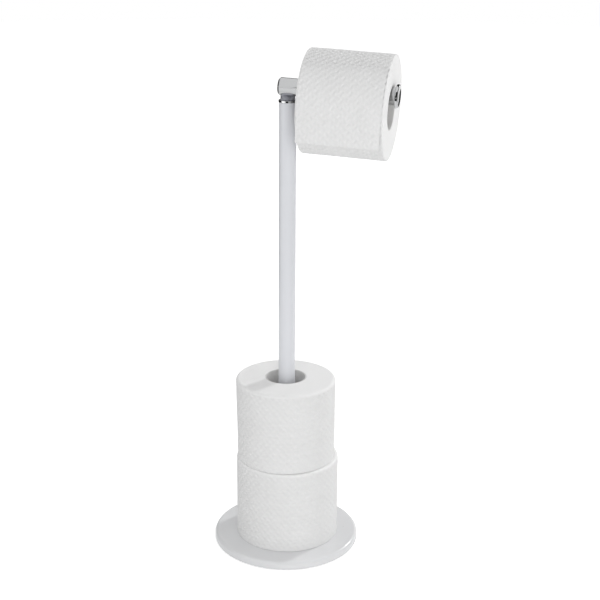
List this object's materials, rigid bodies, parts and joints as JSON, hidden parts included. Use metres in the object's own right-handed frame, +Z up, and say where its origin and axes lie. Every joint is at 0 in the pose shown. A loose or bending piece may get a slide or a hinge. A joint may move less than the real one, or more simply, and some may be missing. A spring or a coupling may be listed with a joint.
{
  "type": "freestanding toilet paper holder",
  "caption": "Free-standing toilet roll holder: weighted round base, slim upright pole for spare rolls, and a plated swivelling head with an arm for the roll in use.",
  "frame": {"origin": "on the floor, on the pole's axis, at the underside of the base's pad", "axes": "+Z up along the pole, +X level towards the arm's side at rest; the arm falls 2.5 degrees towards its outer end"},
  "size_m": [0.2061, 0.17, 0.5812],
  "materials": {
    "white_powder_coat": "smooth satin white powder coat",
    "bright_plating": "polished bright plating",
    "cast_weight": "raw casting",
    "zinc_steel": "zinc-plated steel",
    "soft_pad": "matt closed-cell foam rubber",
    "bush_plastic": "natural matt moulding",
    "ring_rubber": "black rubber",
    "tissue_paper": "soft embossed white tissue",
    "core_board": "matt grey board"
  },
  "bodies": {
    "stand": {"base_shell": "white_powder_coat", "base_weight": "cast_weight", "bottom_plate": "zinc_steel", "bottom_plate_screws": "zinc_steel", "base_pad": "soft_pad", "pole_fixing_screw": "zinc_steel", "pole_lock_washer": "zinc_steel", "pole_insert": "zinc_steel", "pole": "white_powder_coat", "pole_liner": "bush_plastic"},
    "collar": {"swivel_collar": "bright_plating"},
    "head": {"head_neck": "bright_plating", "friction_ring": "ring_rubber", "arm_tube": "bright_plating", "arm_back_cap": "bright_plating", "arm_end_insert": "zinc_steel", "end_disc": "bright_plating"},
    "arm_roll": {"arm_roll_core": "core_board", "arm_roll_paper": "tissue_paper", "arm_roll_tail": "tissue_paper"},
    "lower_roll": {"lower_roll_core": "core_board", "lower_roll_paper": "tissue_paper"},
    "upper_roll": {"upper_roll_core": "core_board", "upper_roll_paper": "tissue_paper"}
  },
  "joints": [
    {"name": "head_swivel", "type": "hinge", "parent": "stand", "child": "collar", "pos_m": [0, 0, 0.5205], "axis": [0, 0, 1], "continuous": true},
    {"name": "head_lift", "type": "slide", "parent": "collar", "child": "head", "axis": [0, 0, 1], "range_m": [0, 0.045]},
    {"name": "arm_roll_spin", "type": "hinge", "parent": "head", "child": "arm_roll", "pos_m": [0.06748, 0, 0.52294], "axis": [0.999, 0, -0.0436], "continuous": true},
    {"name": "lower_roll_lift", "type": "slide", "parent": "stand", "child": "lower_roll", "axis": [0, 0, 1], "range_m": [0, 0.12]},
    {"name": "upper_roll_lift", "type": "slide", "parent": "lower_roll", "child": "upper_roll", "axis": [0, 0, 1], "range_m": [0, 0.12]}
  ]
}
